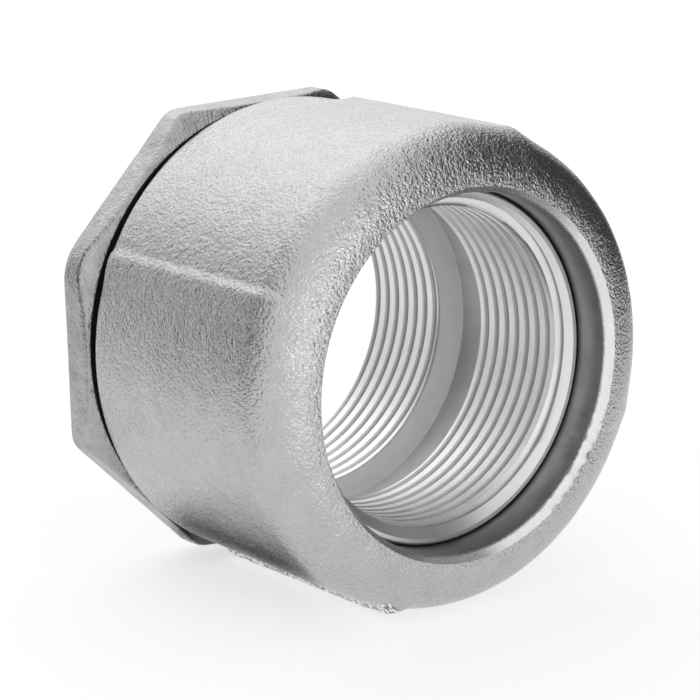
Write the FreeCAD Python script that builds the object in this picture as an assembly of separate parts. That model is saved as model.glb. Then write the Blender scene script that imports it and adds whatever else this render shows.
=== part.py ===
import FreeCAD, Part

import math
import os

# Three-piece conduit coupling for 1-1/2 inch rigid conduit: a hub, a sleeve and a coupling nut.
# Millimetres. The bore axis is X, with the mouth towards +X, and +Z is up, with a flat of the hub's
# octagonal flange facing down. Lengths are drawn from the hub's rear face, and the stored pieces have
# their origin on the axis, halfway along the coupling.

# Conduit thread, 11.5 turns per inch: a right-handed V groove in a bore of the crest's radius
CONDUIT_CREST_R = 22.3
CONDUIT_PITCH = 25.4 / 11.5
CONDUIT_DEPTH = 1.75
CONDUIT_CREST_FLAT = 0.31
CONDUIT_ROOT_FLAT = 0.13
GROOVE_OVERLAP = 0.12
GROOVE_SPARE_TURNS = 2
SLEEVE_GROOVE_SHIFT = 1.25
BORE_SECTORS = 8

# Lengths along the axis
OVERALL_LENGTH = 51.1
FLANGE_THICKNESS = 5.65
NUT_LENGTH = 43.45
SLEEVE_LENGTH = 18.55
SLEEVE_RECESS = 6.45
FACE_GAP = 0.2

# Hub
ACROSS_FLATS = 64.85
FLANGE_SIDES = 8
FLANGE_CORNER_ROUNDING = 3.8
FLANGE_FACE_R = 32.1
FLANGE_CHAMFER_DEG = 37.0
FLANGE_EDGE_ROUNDING = 0.6
UNION_THREAD_R = 29.8
UNION_THREAD_CHAMFER = 1.1
HUB_REAR_CHAMFER = 2.05
HUB_THREAD_END = 16.9
SEAT_R = 24.3
SEAT_CONE_LENGTH = 3.3
SEAT_CHAMFER = 0.5

# Sleeve
COLLAR_R = 29.0
COLLAR_LENGTH = 11.2
COLLAR_CHAMFER = 0.8
NECK_R = 24.95
NECK_CHAMFER = 0.3
SLEEVE_FRONT_CHAMFER = 1.8
SLEEVE_REAR_CHAMFER = 0.4

# Coupling nut
UNION_CLEARANCE = 0.3
NUT_REAR_R = 33.35
NUT_FRONT_R = 34.1
NUT_REAR_ROUNDING = 1.7
FRONT_ROUNDING = 7.75
MOUTH_R = 25.2
MOUTH_CHAMFER = 0.95
MOUTH_CHAMFER_DEPTH = 1.45
SHOULDER_GAP = 0.3
REAR_MOUTH_CHAMFER = 1.1

# Ribs of the nut: angles from +Y towards +Z, crest height and the arc that sinks the crest at the front
RIB_ANGLES_DEG = (66.7, 153.8, 251.5, 340.0)
RIB_CREST_R = 34.7
RIB_BACK_R = 2.5
RIB_DEPTH = 2.2
RIB_REAR_CHAMFER = 0.8
RIB_FRONT_ARC_R = 7.25
RIB_FRONT_SINK = 0.3

# Where the pieces begin and end along the axis
NUT_REAR = OVERALL_LENGTH - NUT_LENGTH
SLEEVE_FRONT = OVERALL_LENGTH - SLEEVE_RECESS
SLEEVE_REAR = SLEEVE_FRONT - SLEEVE_LENGTH
COLLAR_END = SLEEVE_REAR + COLLAR_LENGTH
SHOULDER = COLLAR_END + SHOULDER_GAP
HUB_END = SLEEVE_REAR - FACE_GAP
CORNER_R = ACROSS_FLATS / 2 / math.cos(math.pi / FLANGE_SIDES)

AXIS_POINT = FreeCAD.Vector(0, 0, 0)
AXIS = FreeCAD.Vector(1, 0, 0)


def turned(points):
    """A solid of revolution about the X axis from a closed outline of (x, radius) points."""
    outline = [FreeCAD.Vector(x, 0, r) for x, r in points]
    face = Part.Face(Part.makePolygon(outline + outline[:1]))
    return face.revolve(AXIS_POINT, AXIS, 360)


def turned_sectors(points):
    """The same solid, with its round faces divided into equal sectors."""
    step = 360 / BORE_SECTORS
    outline = [FreeCAD.Vector(x, 0, r) for x, r in points]
    sector = Part.Face(Part.makePolygon(outline + outline[:1])).revolve(AXIS_POINT, AXIS, step)
    sectors = [sector.rotated(AXIS_POINT, AXIS, step * (k + 0.5)) for k in range(BORE_SECTORS)]
    return sectors[0].multiFuse(sectors[1:])


def conduit_groove(start, end):
    """The helical V groove between two places on the axis, with spare turns at both ends."""
    spare = GROOVE_SPARE_TURNS * CONDUIT_PITCH
    half_root = CONDUIT_ROOT_FLAT / 2
    flank = (CONDUIT_PITCH - CONDUIT_CREST_FLAT - CONDUIT_ROOT_FLAT) / 2 / CONDUIT_DEPTH
    half_mouth = half_root + flank * (CONDUIT_DEPTH + GROOVE_OVERLAP)
    mouth_r = CONDUIT_CREST_R - GROOVE_OVERLAP
    root_r = CONDUIT_CREST_R + CONDUIT_DEPTH
    corners = [
        FreeCAD.Vector(mouth_r, 0, -half_mouth), FreeCAD.Vector(root_r, 0, -half_root),
        FreeCAD.Vector(root_r, 0, half_root), FreeCAD.Vector(mouth_r, 0, half_mouth),
    ]
    section = Part.makePolygon(corners + corners[:1])
    helix = Part.makeLongHelix(CONDUIT_PITCH, end - start + 2 * spare, CONDUIT_CREST_R, 0)
    groove = Part.Wire(helix.Edges).makePipeShell([section], True, True)
    groove.rotate(AXIS_POINT, FreeCAD.Vector(0, 1, 0), 90)
    return groove.translated(AXIS * (start - spare))


def octagon_bar(length):
    """The flange's octagonal bar with rounded corners, one flat facing down."""
    angles = [2 * math.pi * (k + 0.5) / FLANGE_SIDES for k in range(FLANGE_SIDES)]
    points = [FreeCAD.Vector(0, CORNER_R * math.cos(a), CORNER_R * math.sin(a)) for a in angles]
    bar = Part.Face(Part.makePolygon(points + points[:1])).extrude(AXIS * length)
    lengthwise = [e for e in bar.Edges if abs(e.tangentAt(e.FirstParameter).x) > 0.99]
    return bar.makeFillet(FLANGE_CORNER_ROUNDING, lengthwise)


def flange():
    """The wrench flange: an octagon whose front corners are turned off to a round face."""
    bar = octagon_bar(FLANGE_THICKNESS)
    rear_edges = [e for e in bar.Edges if all(abs(v.X) < 1e-6 for v in e.Vertexes)]
    bar = bar.makeFillet(FLANGE_EDGE_ROUNDING, rear_edges)
    chamfer_depth = (CORNER_R - FLANGE_FACE_R) * math.tan(math.radians(FLANGE_CHAMFER_DEG))
    round_bar = turned([
        (0, 0), (0, CORNER_R), (FLANGE_THICKNESS - chamfer_depth, CORNER_R),
        (FLANGE_THICKNESS, FLANGE_FACE_R), (FLANGE_THICKNESS, 0),
    ])
    return bar.common(round_bar)


def hub():
    """The octagon-flanged casting with its union thread's barrel and its threaded through bore."""
    barrel = turned([
        (FLANGE_EDGE_ROUNDING, 0), (FLANGE_EDGE_ROUNDING, UNION_THREAD_R),
        (HUB_END - UNION_THREAD_CHAMFER, UNION_THREAD_R), (HUB_END, UNION_THREAD_R - UNION_THREAD_CHAMFER),
        (HUB_END, 0),
    ])
    bore = turned_sectors([
        (-1, 0), (-1, CONDUIT_CREST_R + HUB_REAR_CHAMFER + 1), (HUB_REAR_CHAMFER, CONDUIT_CREST_R),
        (HUB_THREAD_END, CONDUIT_CREST_R), (HUB_THREAD_END + SEAT_CONE_LENGTH, SEAT_R),
        (HUB_END - SEAT_CHAMFER, SEAT_R), (HUB_END + 1, SEAT_R + SEAT_CHAMFER + 1), (HUB_END + 1, 0),
    ])
    body = flange().fuse(barrel).removeSplitter()
    return body.cut(bore).cut(conduit_groove(0, HUB_THREAD_END))


def sleeve():
    """The turned ring that the nut pulls against the hub: a collar and a neck, threaded inside."""
    ring = turned([
        (SLEEVE_REAR, 0), (SLEEVE_REAR, COLLAR_R - COLLAR_CHAMFER),
        (SLEEVE_REAR + COLLAR_CHAMFER, COLLAR_R), (COLLAR_END - COLLAR_CHAMFER, COLLAR_R),
        (COLLAR_END, COLLAR_R - COLLAR_CHAMFER), (COLLAR_END, NECK_R),
        (SLEEVE_FRONT - NECK_CHAMFER, NECK_R), (SLEEVE_FRONT, NECK_R - NECK_CHAMFER), (SLEEVE_FRONT, 0),
    ])
    bore = turned_sectors([
        (SLEEVE_REAR - 1, 0), (SLEEVE_REAR - 1, CONDUIT_CREST_R + SLEEVE_REAR_CHAMFER + 1),
        (SLEEVE_REAR + SLEEVE_REAR_CHAMFER, CONDUIT_CREST_R),
        (SLEEVE_FRONT - SLEEVE_FRONT_CHAMFER, CONDUIT_CREST_R),
        (SLEEVE_FRONT + 1, CONDUIT_CREST_R + SLEEVE_FRONT_CHAMFER + 1), (SLEEVE_FRONT + 1, 0),
    ])
    return ring.cut(bore).cut(conduit_groove(SLEEVE_REAR + SLEEVE_GROOVE_SHIFT, SLEEVE_FRONT))


def nut_shell():
    """The nut's outside: a slightly tapered round shell with a large rounding at its front edge."""
    bend = OVERALL_LENGTH - FRONT_ROUNDING
    ring_r = NUT_FRONT_R - FRONT_ROUNDING
    halfway = FRONT_ROUNDING / math.sqrt(2)
    rear_middle = FreeCAD.Vector(NUT_REAR, 0, 0)
    rear_edge = FreeCAD.Vector(NUT_REAR, 0, NUT_REAR_R)
    bend_start = FreeCAD.Vector(bend, 0, NUT_FRONT_R)
    bend_middle = FreeCAD.Vector(bend + halfway, 0, ring_r + halfway)
    bend_end = FreeCAD.Vector(OVERALL_LENGTH, 0, ring_r)
    front_middle = FreeCAD.Vector(OVERALL_LENGTH, 0, 0)
    outline = Part.Wire([
        Part.makeLine(rear_middle, rear_edge),
        Part.makeLine(rear_edge, bend_start),
        Part.Arc(bend_start, bend_middle, bend_end).toShape(),
        Part.makeLine(bend_end, front_middle),
        Part.makeLine(front_middle, rear_middle),
    ])
    shell = Part.Face(outline).revolve(AXIS_POINT, AXIS, 360)
    rear_circle = [e for e in shell.Edges if e.Closed and abs(e.CenterOfMass.x - NUT_REAR) < 1e-6]
    return shell.makeFillet(NUT_REAR_ROUNDING, rear_circle)


def rib(angle_deg):
    """One low lengthwise rib with a round back, which follows the front rounding and sinks into it."""
    bend = OVERALL_LENGTH - RIB_FRONT_SINK - RIB_FRONT_ARC_R
    bend_centre = FreeCAD.Vector(bend, RIB_CREST_R - RIB_FRONT_ARC_R, 0)
    half_width = math.sqrt(RIB_BACK_R ** 2 - (RIB_BACK_R - RIB_DEPTH) ** 2)
    crest = FreeCAD.Vector(bend, RIB_CREST_R, 0)
    left = FreeCAD.Vector(bend, RIB_CREST_R - RIB_DEPTH, -half_width)
    right = FreeCAD.Vector(bend, RIB_CREST_R - RIB_DEPTH, half_width)
    section = Part.Face(Part.Wire([Part.Arc(left, crest, right).toShape(), Part.makeLine(right, left)]))
    straight = section.extrude(AXIS * (NUT_REAR - bend))
    bent = section.revolve(bend_centre, FreeCAD.Vector(0, 0, -1), 90)
    whole = straight.fuse(bent).removeSplitter()
    whole.rotate(AXIS_POINT, AXIS, angle_deg)
    return whole


def coupling_nut():
    """The casting that holds the sleeve against the hub: shell, ribs, front hole and inside thread."""
    thread_r = UNION_THREAD_R + UNION_CLEARANCE
    shape = nut_shell()
    for angle in RIB_ANGLES_DEG:
        shape = shape.fuse(rib(angle))
    shape = shape.removeSplitter()
    rib_end_r = RIB_CREST_R - RIB_REAR_CHAMFER
    shape = shape.common(turned([
        (NUT_REAR, 0), (NUT_REAR, rib_end_r), (NUT_REAR + CORNER_R - rib_end_r, CORNER_R),
        (OVERALL_LENGTH, CORNER_R), (OVERALL_LENGTH, 0),
    ]))
    inside = turned([
        (NUT_REAR - 1, 0), (NUT_REAR - 1, thread_r + REAR_MOUTH_CHAMFER + 1),
        (NUT_REAR + REAR_MOUTH_CHAMFER, thread_r), (SHOULDER, thread_r), (SHOULDER, MOUTH_R),
        (OVERALL_LENGTH - MOUTH_CHAMFER_DEPTH, MOUTH_R),
        (OVERALL_LENGTH + MOUTH_CHAMFER_DEPTH, MOUTH_R + 2 * MOUTH_CHAMFER),
        (OVERALL_LENGTH + MOUTH_CHAMFER_DEPTH, 0),
    ])
    return shape.cut(inside)


def flat_faces_first(solid):
    """The same solid with its flat faces listed before its round and helical ones."""
    faces = sorted(solid.Faces, key=lambda face: face.Surface.TypeId != "Part::GeomPlane")
    return Part.Solid(Part.Shell(faces))


PIECES = {"hub": hub, "sleeve": sleeve, "coupling_nut": coupling_nut}

os.makedirs("parts", exist_ok=True)
for name, make in PIECES.items():
    solids = make().Solids
    assert len(solids) == 1, name
    piece = flat_faces_first(solids[0]).translated(AXIS * (-OVERALL_LENGTH / 2))
    assert piece.isValid() and piece.Volume > 0, name
    piece.exportStep(f"parts/{name}.step")
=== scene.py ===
"""Looks of a conduit coupling: zinc-plated castings with threads, on a pale floor in soft studio light."""

import math

import bmesh
import bpy
import numpy as np
from mathutils import Matrix, Vector


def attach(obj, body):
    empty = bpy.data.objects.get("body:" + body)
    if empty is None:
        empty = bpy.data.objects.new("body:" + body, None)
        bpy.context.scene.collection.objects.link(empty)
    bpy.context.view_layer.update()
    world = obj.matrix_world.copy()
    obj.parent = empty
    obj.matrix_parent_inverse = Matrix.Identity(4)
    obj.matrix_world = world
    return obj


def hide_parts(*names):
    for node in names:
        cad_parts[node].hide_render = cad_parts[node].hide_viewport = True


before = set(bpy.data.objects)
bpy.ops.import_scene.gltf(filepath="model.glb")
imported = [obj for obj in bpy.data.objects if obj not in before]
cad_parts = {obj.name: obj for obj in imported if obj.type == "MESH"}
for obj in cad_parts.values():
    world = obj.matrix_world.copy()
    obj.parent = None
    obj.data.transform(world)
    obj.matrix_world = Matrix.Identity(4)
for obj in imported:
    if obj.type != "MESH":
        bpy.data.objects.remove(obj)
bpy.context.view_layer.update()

# Sizes in millimetres, along the axis from the hub's rear face
LENGTH = 51.1

# Threads: the conduit's in the bore, the union's between hub and nut
PITCH = 25.4 / 11.5
CONDUIT_CREST = 22.3
CONDUIT_ROOT = 23.9
UNION_DEPTH = 1.1
UNION_RUN_OUT = 1.5 * PITCH

# Shares of a thread's turn, and the rows of points in one turn
HALF_ROOT = 0.05
HALF_CREST = 0.25
THREAD_START = 0.25
SPARE_TURNS = 2
THREAD_ROWS = (0.05, 0.15, 0.25, 0.42, 0.58, 0.75, 0.85, 0.95)
COARSE_ROWS = (0.05, 0.25, 0.75, 0.95)

# Hub
HUB_END = 25.9
FLANGE_END = 5.65
FLAT_R = 32.425
FLANGE_SIDES = 8
SECTOR = 2 * math.pi / FLANGE_SIDES
CORNER_ROUNDING = 3.8
WORN_CORNER = 3
WORN_ROUNDING = 8.1
# Painted shade: between these angles, in the crevice under the nut, the flange's front chamfer is made dark
CREVICE_FROM = math.radians(225)
CREVICE_TO = math.radians(262)
REAR_ROUNDING = 0.6
REAR_FACE_R = 28.0
REAR_FACE_EDGE = 0.5
FACE_R = 32.1
FACE_INSET = 0.2
FACE_SLOPE = math.tan(math.radians(37.0))
WORN_EDGE = ((-0.2, 0), (0.1, 0.18))
FACE_EDGE = ((0.2, 0.14), (0.02, -0.08))
UNION_CREST = 29.8
UNION_CHAMFER = 1.1
HUB_REAR_CHAMFER = 2.05
HUB_THREAD_END = 16.9
HUB_GROOVE_END = 17.9
HUB_RUN_OUT = 0.5 * PITCH
CONE_START = 17.1
CONE_RINGS = 10
SEAT_START = 20.2
SEAT_R = 24.3
SEAT_CHAMFER = 0.5

# Sleeve
SLEEVE_REAR = 26.1
SLEEVE_FRONT = 44.65
COLLAR_END = 37.3
COLLAR_R = 29.0
COLLAR_CHAMFER = 0.8
NECK_R = 24.95
NECK_CHAMFER = 0.3
SLEEVE_LEAD = 1.8
SLEEVE_GROOVE_SHIFT = 1.25
SLEEVE_REAR_CHAMFER = 0.4

# Nut
NUT_REAR = 7.65
NUT_REAR_R = 33.35
NUT_FRONT_R = 34.1
NUT_REAR_ROUNDING = 1.7
FRONT_ROUNDING = 7.75
MOUTH_R = 25.2
MOUTH_CHAMFER = 0.95
MOUTH_CHAMFER_DEPTH = 1.45
SHOULDER = 37.6
NUT_CREST = 30.1
NUT_CHAMFER = 1.1
NUT_GROOVE_END = 34.6
NUT_WALL_RING = 46.1
NUT_RINGS = 40
BEND_RINGS = 20
# Painted shade: the share of the nut's rear rounding that is made dark like the gap towards the flange
GAP_SHADE_BEND = 0.6
SKIN_FADE = 0.5
TORN_ANGLE = math.radians(325)
TORN_REACH = 0.75
OUTER_TEAR = {"height": 0.35, "cells": 300, "seed": 51}
MIDDLE_TEAR = {"height": 0.5, "cells": 260, "seed": 52}
INNER_TEAR = {"height": 0.4, "cells": 300, "seed": 53}

# Ribs of the nut, each with its flanks' widths below and above its angle and its height at both ends.
# A ridge has flat flanks, and the others have round backs.
RIB_END_R = 33.9
RIB_BEND = math.radians(75)
RIBS = (
    {"angle": math.radians(66.7), "below": 4.8, "above": 4.8, "ridge": True, "rear": 1.3, "front": 0.6},
    {"angle": math.radians(153.8), "below": 1.8, "above": 4.8, "ridge": False, "rear": 0.4, "front": 0.45},
    {"angle": math.radians(251.5), "below": 2.2, "above": 2.7, "ridge": False, "rear": 1.3, "front": 1.0},
    {"angle": math.radians(340.0), "below": 6.2, "above": 6.2, "ridge": True, "rear": 1.3, "front": 0.6},
)
FLASH_RIB = 2
FLASH_BELOW = 2.8
FLASH_BEND = 0.5

# The cast skin's depths in millimetres, with the cells along and around, and the seeds of its pieces
BROAD_SKIN = 0.08
BROAD_CELLS = (7, 24)
FINE_SKIN = 0.05
FINE_CELLS = (24, 90)
FLANGE_SEED = 11
FLANGE_GRAIN = 4
NUT_SEED = 31

# Edges sharper than this show as edges
SHARP_ANGLE = math.radians(38)

# Finishes, painted shades and painted light of the hub and of the nut, in the order of their material slots
HUB_CAST, HUB_PAINTED_GAP_SHADE, HUB_TURNED, HUB_DULL_PAINTED_SHADE, HUB_MATTE_PAINTED_LIGHT = range(5)
NUT_CAST, NUT_CHAMFER_CUT, NUT_WALL_PAINTED_SHADE, NUT_PAINTED_GAP_SHADE, NUT_FLASH = range(5)

# Floor and world: how much they light the object, and how pale they look
FLOOR_SHADE = 0.62
FLOOR_GLOW = 0.64
WORLD_LIGHT = 0.5
WORLD_GLOW = 0.5

# Camera
CAMERA_DISTANCE = 0.4642
CAMERA_AZIMUTH_DEG = -40.31
CAMERA_HEIGHT_DEG = 13.86
CAMERA_YAW_DEG = -2.07
CAMERA_PITCH_DEG = 0.45
CAMERA_LEAN_DEG = -1.46
LENS_MM = 175.3
SENSOR_MM = 36


class RingMesh:
    """A closed skin made of rings of points around the bore axis, with a material slot for each stretch, some
    of them painted shade or light.
    """

    def __init__(self, angles):
        self.angles = np.asarray(angles)
        self.count = len(self.angles)
        self.points = []
        self.faces = []
        self.slot_indices = []
        self.finish = 0
        self.last = None

    def points_at(self, x, r):
        x = np.broadcast_to(np.asarray(x, float), self.angles.shape)
        r = np.broadcast_to(np.asarray(r, float), self.angles.shape)
        along = (x - LENGTH / 2) / 1000
        across = r / 1000
        return np.stack([along, across * np.cos(self.angles), across * np.sin(self.angles)], axis=1)

    def add(self, points):
        start = self.count * len(self.points)
        self.points.append(points)
        return start

    def bridge(self, a, b):
        finish = np.broadcast_to(self.finish, self.angles.shape).tolist()
        for i in range(self.count):
            j = (i + 1) % self.count
            self.faces.append((a + i, a + j, b + j, b + i))
            self.slot_indices.append(finish[i])

    def ring(self, x, r):
        """The next ring of the skin, joined to the one before."""
        start = self.add(self.points_at(x, r))
        if self.last is not None:
            self.bridge(self.last, start)
        self.last = start

    def thread(self, x_from, x_to, radius, rows, backwards, lead=0):
        """A threaded stretch whose rows of points follow the helix. Rows that leave it end at its edge."""
        shift = self.angles / (2 * math.pi) + THREAD_START + lead / PITCH
        turns = int(math.ceil((x_to - x_from) / PITCH))
        steps = [k + row for k in range(-SPARE_TURNS, turns + 1) for row in rows]
        starts = []
        for step in steps:
            x = np.clip(x_from + PITCH * (step + shift), x_from, x_to)
            starts.append(self.add(self.points_at(x, radius(x, self.angles))))
        per_turn = len(rows)
        end = len(starts) - 1
        for m in range(end):
            a, b = starts[m], starts[m + 1]
            c, d = starts[min(m + per_turn, end)], starts[min(m + per_turn + 1, end)]
            for i in range(self.count - 1):
                self.faces.append((a + i, a + i + 1, b + i + 1, b + i))
            self.faces.append((a + self.count - 1, c, d, b + self.count - 1))
            self.slot_indices += [self.finish] * self.count
        first, final = (starts[end], starts[0]) if backwards else (starts[0], starts[end])
        self.bridge(self.last, first)
        self.last = final

    def close(self):
        self.bridge(self.last, 0)

    def to_object(self, name):
        mesh = bpy.data.meshes.new(name)
        mesh.from_pydata(np.concatenate(self.points).tolist(), [], self.faces)
        mesh.polygons.foreach_set("material_index", self.slot_indices)
        work = bmesh.new()
        work.from_mesh(mesh)
        bmesh.ops.remove_doubles(work, verts=work.verts, dist=2e-6)
        bmesh.ops.dissolve_degenerate(work, edges=work.edges, dist=1e-7)
        bmesh.ops.recalc_face_normals(work, faces=work.faces)
        for face in work.faces:
            face.smooth = True
        for edge in work.edges:
            edge.smooth = edge.calc_face_angle(0) < SHARP_ANGLE
        work.to_mesh(mesh)
        work.free()
        piece = bpy.data.objects.new(name, mesh)
        bpy.context.scene.collection.objects.link(piece)
        return piece


def waves(x, angles, cells_x, cells_round, seed):
    """Smooth uneven height from 0 to 1 over the axis and around it."""
    grid = np.random.default_rng(seed).random((cells_x + 1, cells_round))
    u = np.clip(np.asarray(x) / LENGTH, 0, 0.9999) * cells_x
    v = np.asarray(angles) / (2 * math.pi) * cells_round
    u0 = np.floor(u).astype(int)
    v0 = np.floor(v).astype(int)
    fu = (u - u0) ** 2 * (3 - 2 * (u - u0))
    fv = (v - v0) ** 2 * (3 - 2 * (v - v0))
    v1 = (v0 + 1) % cells_round
    v0 = v0 % cells_round
    low = grid[u0, v0] * (1 - fv) + grid[u0, v1] * fv
    high = grid[u0 + 1, v0] * (1 - fv) + grid[u0 + 1, v1] * fv
    return low * (1 - fu) + high * fu


def cast_skin(x, angles, seed):
    """How far the rough casting lies under its nominal skin, in millimetres."""
    broad = waves(x, angles, *BROAD_CELLS, seed)
    fine = waves(x, angles, *FINE_CELLS, seed + 1)
    return BROAD_SKIN * broad + FINE_SKIN * fine


def turn_depth(x, angles, x_from):
    """0 at the crest of a thread's turn and 1 at its root."""
    phase = np.mod((np.asarray(x) - x_from) / PITCH - angles / (2 * math.pi) - THREAD_START, 1.0)
    off_root = np.minimum(phase, 1 - phase)
    return np.clip((0.5 - HALF_CREST - off_root) / (0.5 - HALF_CREST - HALF_ROOT), 0, 1)


def past_angle(angles, centre):
    """How far angles lie past a centre, negative before it."""
    return np.mod(angles - centre + math.pi, 2 * math.pi) - math.pi


def dense_angles(count, stretches):
    """Even angles, with closer ones in stretches of (centre, half width in degrees, step in degrees)."""
    angles = [np.linspace(0, 2 * math.pi, count, endpoint=False)]
    for centre, half_width_deg, step_deg in stretches:
        span = np.arange(-half_width_deg, half_width_deg + step_deg / 2, step_deg)
        angles.append(np.mod(centre + np.radians(span), 2 * math.pi))
    merged = np.unique(np.round(np.concatenate(angles), 4))
    return merged[merged < 2 * math.pi - 1e-3]


def octagon_radius(angles):
    """The flange's outline: flats with rounded corners, one of them cast rounder than the rest."""
    corner = np.floor(np.mod(angles, 2 * math.pi) / SECTOR).astype(int)
    off_corner = np.mod(angles, 2 * math.pi) - (corner + 0.5) * SECTOR
    rounding = np.where(corner == WORN_CORNER, WORN_ROUNDING, CORNER_ROUNDING)
    centre = (FLAT_R - rounding) / math.cos(SECTOR / 2)
    off_flat = SECTOR / 2 - np.abs(off_corner)
    on_flat = np.tan(off_flat) * FLAT_R < (FLAT_R - rounding) * math.tan(SECTOR / 2)
    root = np.sqrt(np.maximum(rounding ** 2 - (centre * np.sin(off_corner)) ** 2, 0))
    return np.where(on_flat, FLAT_R / np.cos(off_flat), centre * np.cos(off_corner) + root)


def build_hub():
    corners = [((k + 0.5) * SECTOR, 7, 0.7) for k in range(FLANGE_SIDES)]
    skin = RingMesh(dense_angles(256, corners))
    angles = skin.angles
    outline = octagon_radius(angles)
    edge = FLANGE_END - (outline - FACE_R) * FACE_SLOPE

    def flange(x, r):
        skin.ring(x, r - cast_skin(np.broadcast_to(x, angles.shape) * FLANGE_GRAIN, angles, FLANGE_SEED))

    def conduit(x, a):
        run_out = np.clip((HUB_GROOVE_END - x) / HUB_RUN_OUT, 0, 1)
        turn = CONDUIT_CREST + (CONDUIT_ROOT - CONDUIT_CREST) * turn_depth(x, a, 0) * run_out
        rear = CONDUIT_CREST + HUB_REAR_CHAMFER - x
        seat = CONDUIT_CREST + (x - HUB_THREAD_END) * (SEAT_R - CONDUIT_CREST) / (SEAT_START - HUB_THREAD_END)
        return np.maximum(turn, np.maximum(rear, seat))

    def union(x, a):
        run_out = np.clip((x - FLANGE_END) / UNION_RUN_OUT, 0, 1)
        turn = UNION_CREST - UNION_DEPTH * turn_depth(x, a, FLANGE_END) * run_out
        return np.minimum(turn, UNION_CREST - UNION_CHAMFER + HUB_END - x)

    skin.finish = HUB_CAST
    skin.ring(0, conduit(np.zeros_like(angles), angles))
    skin.ring(0, REAR_FACE_R)
    skin.ring(0, outline - REAR_ROUNDING - REAR_FACE_EDGE)
    for part in (0, 0.33, 0.67, 1):
        bend = part * math.pi / 2
        flange(REAR_ROUNDING * (1 - math.cos(bend)), outline - REAR_ROUNDING * (1 - math.sin(bend)))
    for share in (0.2, 0.4, 0.6, 0.8):
        flange(REAR_ROUNDING + share * (edge - REAR_ROUNDING), outline)
    for past, drop in WORN_EDGE:
        flange(edge + past, outline - drop)
    # Painted shade: in the crevice under the nut, the flange's front chamfer is made dark
    skin.finish = np.where((angles > CREVICE_FROM) & (angles < CREVICE_TO), HUB_PAINTED_GAP_SHADE, HUB_CAST)
    for share in (0.2, 0.6):
        flange(edge + share * (FLANGE_END - edge), outline + share * (FACE_R - outline))
    for before, rise in FACE_EDGE:
        skin.ring(FLANGE_END - before, FACE_R + rise)
    # Painted shade: the flange's front face and the union thread, in the gap between flange and nut, are made
    # dark
    skin.finish = HUB_PAINTED_GAP_SHADE
    skin.ring(FLANGE_END, FACE_R - FACE_INSET)
    skin.ring(FLANGE_END, union(np.full_like(angles, FLANGE_END), angles))
    skin.thread(FLANGE_END, HUB_END, union, THREAD_ROWS, backwards=False)
    skin.ring(HUB_END, SEAT_R + SEAT_CHAMFER)
    skin.ring(HUB_END - SEAT_CHAMFER, SEAT_R)
    # Painted shade: the seat bore gets a rougher, darker copy of the turned zinc
    skin.finish = HUB_DULL_PAINTED_SHADE
    skin.ring(SEAT_START, SEAT_R)
    # Painted light: the lead-in cone gets a rough, part-metallic zinc that is brighter than the turned zinc
    # beside it
    skin.finish = HUB_MATTE_PAINTED_LIGHT
    for x in np.linspace(SEAT_START, CONE_START, CONE_RINGS)[1:]:
        skin.ring(x, conduit(np.full_like(angles, x), angles))
    skin.finish = HUB_TURNED
    skin.thread(0, CONE_START, conduit, THREAD_ROWS, backwards=True)
    skin.close()
    return skin.to_object("hub_casting")


def build_sleeve():
    skin = RingMesh(dense_angles(320, []))
    angles = skin.angles

    def conduit(x, a):
        depth = turn_depth(x, a, SLEEVE_REAR + SLEEVE_GROOVE_SHIFT)
        turn = CONDUIT_CREST + (CONDUIT_ROOT - CONDUIT_CREST) * depth
        rear = CONDUIT_CREST + SLEEVE_REAR_CHAMFER - (x - SLEEVE_REAR)
        lead = CONDUIT_CREST + SLEEVE_LEAD - (SLEEVE_FRONT - x)
        return np.maximum(turn, np.maximum(rear, lead))

    skin.ring(SLEEVE_REAR, conduit(np.full_like(angles, SLEEVE_REAR), angles))
    skin.ring(SLEEVE_REAR, COLLAR_R - COLLAR_CHAMFER)
    skin.ring(SLEEVE_REAR + COLLAR_CHAMFER, COLLAR_R)
    skin.ring(COLLAR_END - COLLAR_CHAMFER, COLLAR_R)
    skin.ring(COLLAR_END, COLLAR_R - COLLAR_CHAMFER)
    skin.ring(COLLAR_END, NECK_R)
    skin.ring(SLEEVE_FRONT - NECK_CHAMFER, NECK_R)
    skin.ring(SLEEVE_FRONT, NECK_R - NECK_CHAMFER)
    skin.ring(SLEEVE_FRONT, CONDUIT_CREST + SLEEVE_LEAD)
    skin.thread(SLEEVE_REAR, SLEEVE_FRONT, conduit, THREAD_ROWS, backwards=True, lead=SLEEVE_GROOVE_SHIFT)
    skin.close()
    return skin.to_object("threaded_sleeve")


def rib_rise(angles, r, front):
    """The ribs' height on a ring of radius r. front goes from 0 at the rear to 1 at the front rounding."""
    rise = np.zeros_like(angles)
    for rib in RIBS:
        past = past_angle(angles, rib["angle"]) * r
        aside = np.minimum(np.where(past < 0, -past / rib["below"], past / rib["above"]), 1)
        form = (1 - aside) ** 2 if rib["ridge"] else (1 + np.cos(math.pi * aside)) / 2
        rise = np.maximum(rise, form * (rib["rear"] + (rib["front"] - rib["rear"]) * front))
    return rise


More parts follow.
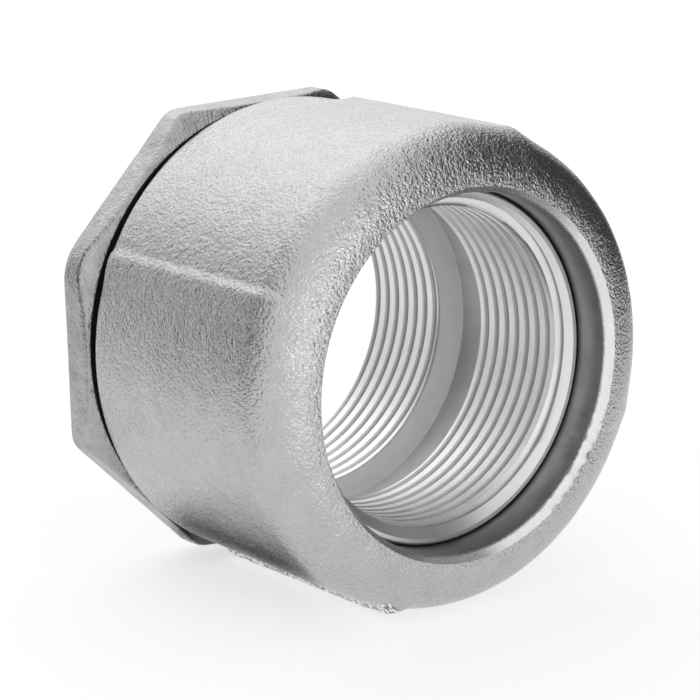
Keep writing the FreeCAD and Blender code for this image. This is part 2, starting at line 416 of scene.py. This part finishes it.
def build_nut():
    ribs = [(rib["angle"], 5.6, 0.4) for rib in RIBS]
    skin = RingMesh(dense_angles(300, ribs + [(TORN_ANGLE, math.degrees(TORN_REACH), 0.5)]))
    angles = skin.angles
    bend_x = LENGTH - FRONT_ROUNDING
    bend_r = NUT_FRONT_R - FRONT_ROUNDING
    past_flash = past_angle(angles, RIBS[FLASH_RIB]["angle"]) * NUT_FRONT_R
    on_flash = (past_flash > -FLASH_BELOW) & (past_flash < 0)
    outside = np.where(on_flash, NUT_FLASH, NUT_CAST)

    def union(x, a):
        run_out = np.clip((NUT_GROOVE_END - x) / UNION_RUN_OUT, 0, 1)
        turn = NUT_CREST + UNION_DEPTH * turn_depth(x, a, NUT_REAR) * run_out
        return np.maximum(turn, NUT_CREST + NUT_CHAMFER - (x - NUT_REAR))

    def shell(x, r):
        """A ring of the straight part, with the ribs standing on it."""
        rise = rib_rise(angles, r, (x - NUT_REAR) / (bend_x - NUT_REAR))
        end = np.maximum(RIB_END_R + x - NUT_REAR - r, 0)
        skin.ring(x, r + np.minimum(rise, end) - cast_skin(np.full_like(angles, x), angles, NUT_SEED))

    def straight_r(x):
        return NUT_REAR_R + (NUT_FRONT_R - NUT_REAR_R) * (x - NUT_REAR) / (bend_x - NUT_REAR)

    # Painted shade: the nut's rear ring and the first part of its rear rounding, at the gap towards the
    # flange, are made dark
    skin.finish = NUT_PAINTED_GAP_SHADE
    skin.ring(NUT_REAR, union(np.full_like(angles, NUT_REAR), angles))
    for part in (0, 0.25, 0.5, 0.75, 1):
        skin.finish = NUT_PAINTED_GAP_SHADE if part < GAP_SHADE_BEND else outside
        bend = part * math.pi / 2
        x = NUT_REAR + NUT_REAR_ROUNDING * (1 - math.cos(bend))
        shell(x, straight_r(x) - NUT_REAR_ROUNDING * (1 - math.sin(bend)))
    skin.finish = outside
    for x in np.linspace(NUT_REAR + NUT_REAR_ROUNDING, bend_x, NUT_RINGS)[1:]:
        shell(x, straight_r(x))
    for turn in np.linspace(0, math.pi / 2, BEND_RINGS)[1:]:
        skin.finish = outside if turn < FLASH_BEND else NUT_CAST
        base_r = bend_r + FRONT_ROUNDING * math.cos(turn)
        sink = np.clip(1 - turn / RIB_BEND, 0, 1)
        place = np.full_like(angles, bend_x + FRONT_ROUNDING * math.sin(turn))
        fade = np.clip((math.pi / 2 - turn) / SKIN_FADE, 0, 1)
        hollow = fade * cast_skin(place, angles, NUT_SEED)
        reach = FRONT_ROUNDING + rib_rise(angles, base_r, 1) * sink - hollow
        skin.ring(bend_x + reach * math.sin(turn), bend_r + reach * math.cos(turn))

    torn = np.clip(1 - np.abs(past_angle(angles, TORN_ANGLE)) / TORN_REACH, 0, 1)

    def tear(height, cells, seed):
        return height * torn * waves(np.zeros_like(angles), angles, 1, cells, seed)

    middle_tear = tear(**MIDDLE_TEAR)
    skin.finish = NUT_CAST
    skin.ring(LENGTH, MOUTH_R + MOUTH_CHAMFER - tear(**OUTER_TEAR) / 2)
    skin.finish = NUT_CHAMFER_CUT
    for share in (0.35, 0.7):
        skin.ring(LENGTH - share * MOUTH_CHAMFER_DEPTH - middle_tear * (1 - share),
                  MOUTH_R + (1 - share) * MOUTH_CHAMFER)
    skin.ring(LENGTH - MOUTH_CHAMFER_DEPTH - tear(**INNER_TEAR), MOUTH_R)
    # Painted shade: the mouth's wall gets a darker copy of the turned zinc
    skin.finish = NUT_WALL_PAINTED_SHADE
    skin.ring(NUT_WALL_RING, MOUTH_R)
    skin.ring(SHOULDER, MOUTH_R)
    # Painted shade: the nut's union thread, inside the gap towards the flange, is made dark
    skin.finish = NUT_PAINTED_GAP_SHADE
    skin.ring(SHOULDER, NUT_CREST)
    skin.thread(NUT_REAR, SHOULDER, union, COARSE_ROWS, backwards=True)
    skin.close()
    return skin.to_object("ribbed_nut")


def zinc(name, base, rough, layers, patch, patch_scale=260, patch_edge=0.2, metallic=1.0):
    """Zinc plating. Each layer of bumps has a scale per metre, a detail and a height in millimetres."""
    material = bpy.data.materials.new(name)
    material.use_nodes = True
    nodes = material.node_tree.nodes
    links = material.node_tree.links
    shader = nodes["Principled BSDF"]
    shader.inputs["Metallic"].default_value = metallic
    place = nodes.new("ShaderNodeTexCoord")

    def noise(scale, detail, roughness):
        node = nodes.new("ShaderNodeTexNoise")
        node.inputs["Scale"].default_value = scale
        node.inputs["Detail"].default_value = detail
        node.inputs["Roughness"].default_value = roughness
        links.new(place.outputs["Object"], node.inputs["Vector"])
        return node.outputs["Fac"]

    def spread(source, low, high, edge=0.2):
        node = nodes.new("ShaderNodeMapRange")
        node.inputs["From Min"].default_value = 0.5 - edge
        node.inputs["From Max"].default_value = 0.5 + edge
        node.inputs["To Min"].default_value = low
        node.inputs["To Max"].default_value = high
        links.new(source, node.inputs["Value"])
        return node.outputs["Result"]

    tint = nodes.new("ShaderNodeMix")
    tint.data_type = "RGBA"
    dark = base * (1 - patch)
    tint.inputs["A"].default_value = (dark, dark, dark, 1)
    tint.inputs["B"].default_value = (base, base * 1.004, base * 1.01, 1)
    links.new(spread(noise(patch_scale, 4, 0.65), 0, 1, patch_edge), tint.inputs["Factor"])
    links.new(tint.outputs["Result"], shader.inputs["Base Color"])
    normal = None
    for scale, detail, height in layers:
        bumps = noise(scale, detail, 0.55)
        bump = nodes.new("ShaderNodeBump")
        bump.inputs["Strength"].default_value = 1.0
        bump.inputs["Distance"].default_value = height / 1000
        links.new(bumps, bump.inputs["Height"])
        if normal:
            links.new(normal, bump.inputs["Normal"])
        normal = bump.outputs["Normal"]
    links.new(spread(bumps, rough - 0.06, rough + 0.08), shader.inputs["Roughness"])
    links.new(normal, shader.inputs["Normal"])
    return material


def dress(piece, body, node, materials):
    for material in materials:
        piece.data.materials.append(material)
    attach(piece, body)
    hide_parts(node)


def glow_for_looks(tree, strength):
    """A strength that only the camera, reflections and clear materials see."""
    nodes, links = tree.nodes, tree.links
    path = nodes.new("ShaderNodeLightPath")
    seen = path.outputs["Is Camera Ray"]
    for other in ("Is Glossy Ray", "Is Transmission Ray"):
        larger = nodes.new("ShaderNodeMath")
        larger.operation = "MAXIMUM"
        links.new(seen, larger.inputs[0])
        links.new(path.outputs[other], larger.inputs[1])
        seen = larger.outputs["Value"]
    scaled = nodes.new("ShaderNodeMath")
    scaled.operation = "MULTIPLY"
    scaled.inputs[1].default_value = strength
    links.new(seen, scaled.inputs[0])
    return scaled.outputs["Value"]


def plane(name, centre, look_at, width, height):
    mesh = bpy.data.meshes.new(name)
    w, h = width / 2, height / 2
    mesh.from_pydata([(-w, -h, 0), (w, -h, 0), (w, h, 0), (-w, h, 0)], [], [(0, 1, 2, 3)])
    flat = bpy.data.objects.new(name, mesh)
    bpy.context.scene.collection.objects.link(flat)
    facing = (Vector(look_at) - Vector(centre)).to_track_quat("Z", "Y")
    flat.matrix_world = Matrix.Translation(centre) @ facing.to_matrix().to_4x4()
    return flat


def build_floor():
    """The floor touches the nut along its lowest line, as the coupling lies on a bench."""
    low_front = Vector(((LENGTH - FRONT_ROUNDING - LENGTH / 2) / 1000, 0, -NUT_FRONT_R / 1000))
    low_rear = Vector(((NUT_REAR + NUT_REAR_ROUNDING - LENGTH / 2) / 1000, 0, -NUT_REAR_R / 1000))
    normal = (low_front - low_rear).cross(Vector((0, 1, 0)))
    normal *= 1 if normal.z > 0 else -1
    floor = plane("floor", low_front, low_front + normal, 6, 6)
    material = bpy.data.materials.new("pale_floor")
    material.use_nodes = True
    tree = material.node_tree
    tree.nodes.clear()
    diffuse = tree.nodes.new("ShaderNodeBsdfDiffuse")
    diffuse.inputs["Color"].default_value = (FLOOR_SHADE, FLOOR_SHADE, FLOOR_SHADE, 1)
    glow = tree.nodes.new("ShaderNodeEmission")
    tree.links.new(glow_for_looks(tree, FLOOR_GLOW), glow.inputs["Strength"])
    both = tree.nodes.new("ShaderNodeAddShader")
    tree.links.new(diffuse.outputs["BSDF"], both.inputs[0])
    tree.links.new(glow.outputs["Emission"], both.inputs[1])
    out = tree.nodes.new("ShaderNodeOutputMaterial")
    tree.links.new(both.outputs["Shader"], out.inputs["Surface"])
    floor.data.materials.append(material)


def build_world():
    world = bpy.data.worlds.new("studio")
    bpy.context.scene.world = world
    world.use_nodes = True
    tree = world.node_tree
    background = tree.nodes["Background"]
    background.inputs["Color"].default_value = (1, 1, 1, 1)
    total = tree.nodes.new("ShaderNodeMath")
    total.operation = "ADD"
    total.inputs[1].default_value = WORLD_LIGHT
    tree.links.new(glow_for_looks(tree, WORLD_GLOW), total.inputs[0])
    tree.links.new(total.outputs["Value"], background.inputs["Strength"])


def towards(azimuth_deg, height_deg, distance):
    """A place seen from the coupling: the azimuth turns from the mouth's side to the viewer's right."""
    azimuth = math.radians(azimuth_deg)
    height = math.radians(height_deg)
    across = math.cos(height)
    return distance * Vector((across * math.cos(azimuth), across * math.sin(azimuth), math.sin(height)))


def dark_card(name, place, look_at, width, height, shade):
    """A dark studio card that only reflections show."""
    card = plane(name, place, look_at, width, height)
    material = bpy.data.materials.new(name)
    material.use_nodes = True
    shader = material.node_tree.nodes["Principled BSDF"]
    shader.inputs["Base Color"].default_value = (shade, shade, shade, 1)
    shader.inputs["Roughness"].default_value = 0.9
    card.data.materials.append(material)
    card.visible_camera = False
    card.visible_diffuse = False
    card.visible_shadow = False


def soft_lamp(name, place, width, height, watts):
    lamp = bpy.data.lights.new(name, "AREA")
    lamp.shape = "RECTANGLE"
    lamp.size = width
    lamp.size_y = height
    lamp.energy = watts
    holder = bpy.data.objects.new(name, lamp)
    bpy.context.scene.collection.objects.link(holder)
    facing = (-place).to_track_quat("-Z", "Y")
    holder.matrix_world = Matrix.Translation(place) @ facing.to_matrix().to_4x4()


def build_camera():
    """The photograph's view: from the mouth's left and a little above, with a long lens."""
    back = towards(CAMERA_AZIMUTH_DEG, CAMERA_HEIGHT_DEG, 1)
    right = Vector((0, 0, 1)).cross(back).normalized()
    up = back.cross(right)
    yaw = math.tan(math.radians(CAMERA_YAW_DEG))
    pitch = math.tan(math.radians(CAMERA_PITCH_DEG))
    forward = (-back + yaw * right + pitch * up).normalized()
    right = forward.cross(up).normalized()
    up = right.cross(forward)
    pose = Matrix((right, up, -forward)).transposed().to_4x4()
    pose.translation = Vector((LENGTH / 2000, 0, 0)) + CAMERA_DISTANCE * back
    camera = bpy.data.cameras.new("camera")
    camera.sensor_width = SENSOR_MM
    camera.lens = LENS_MM
    camera.clip_start = 0.01
    holder = bpy.data.objects.new("camera", camera)
    bpy.context.scene.collection.objects.link(holder)
    holder.matrix_world = Matrix.Rotation(math.radians(CAMERA_LEAN_DEG), 4, "X") @ pose
    bpy.context.scene.camera = holder


cast_bumps = ((700, 2, 0.15), (2300, 2, 0.24))
flange_bumps = ((900, 2, 0.14), (2600, 2, 0.13))
flash_bumps = ((900, 2, 0.15), (2300, 2, 0.15))
tool_marks = ((400, 2, 0.02), (5200, 2, 0.008))
wall_marks = ((400, 2, 0.02), (5200, 2, 0.010))
dull_bumps = ((500, 2, 0.03), (4200, 2, 0.02))
gap_shade_bumps = ((900, 2, 0.03), (4200, 2, 0.02))
cast = zinc("cast_zinc", base=0.53, rough=0.25, layers=cast_bumps, patch=0.10)
flange_cast = zinc("flange_zinc", base=0.48, rough=0.30, layers=flange_bumps, patch=0.30)
turned = zinc("turned_zinc", base=0.77, rough=0.36, layers=tool_marks, patch=0.06)
bright_cut = zinc("bright_cut", base=0.86, rough=0.24, layers=tool_marks, patch=0.08)
# Painted shade: darker turned zinc for the wall inside the nut's mouth
wall_painted_shade = zinc("turned_wall_painted_shade", base=0.42, rough=0.36, layers=wall_marks, patch=0.20)
# Painted shade: rough, darker zinc for the hub's seat bore
dull_painted_shade = zinc("dull_seat_painted_shade", base=0.50, rough=0.50, layers=dull_bumps, patch=0.10)
# Painted shade: a near-black zinc for the gap between nut and flange
painted_gap_shade = zinc("painted_gap_shade_zinc", base=0.13, rough=0.45, layers=gap_shade_bumps, patch=0.30)
flash = zinc("rough_flash", base=0.98, rough=0.35, layers=flash_bumps, patch=0.75, patch_scale=1600,
             patch_edge=0.05)
# Painted light: a rough, bright, part-metallic zinc for the hub's lead-in cone
matte_painted_light = zinc("matte_cone_painted_light", base=0.96, rough=0.75, layers=dull_bumps, patch=0.05, metallic=0.6)
dress(build_hub(), "hub", "hub", (flange_cast, painted_gap_shade, turned, dull_painted_shade, matte_painted_light))
dress(build_sleeve(), "sleeve", "sleeve", (turned,))
dress(build_nut(), "nut", "coupling_nut", (cast, bright_cut, wall_painted_shade, painted_gap_shade, flash))

build_floor()
build_world()
dark_card("card_left", place=Vector((-0.061, -0.136, 0.050)), look_at=(0.03, 0, 0.03),
          width=0.115, height=0.14, shade=0.16)
# Painted shadow: a grey sheet under the nut, seen only in reflections, stands in for the floor's shadow below
# the nut
dark_card("painted_shadow_under_nut", place=Vector((-0.011, -0.0207, -0.0331)), look_at=(-0.011, -0.0207, 0),
          width=0.038, height=0.0125, shade=0.32)
dark_card("card_right", place=Vector((0.06, 0.165, 0.125)), look_at=(0, 0, 0.125),
          width=0.36, height=0.31, shade=0.12)
soft_lamp("key", towards(165, 44, 0.8), width=0.8, height=0.8, watts=1.2)
soft_lamp("front", towards(-4, 4, 0.8), width=0.3, height=0.5, watts=1.1)
build_camera()
bpy.context.scene.view_settings.view_transform = "Standard"
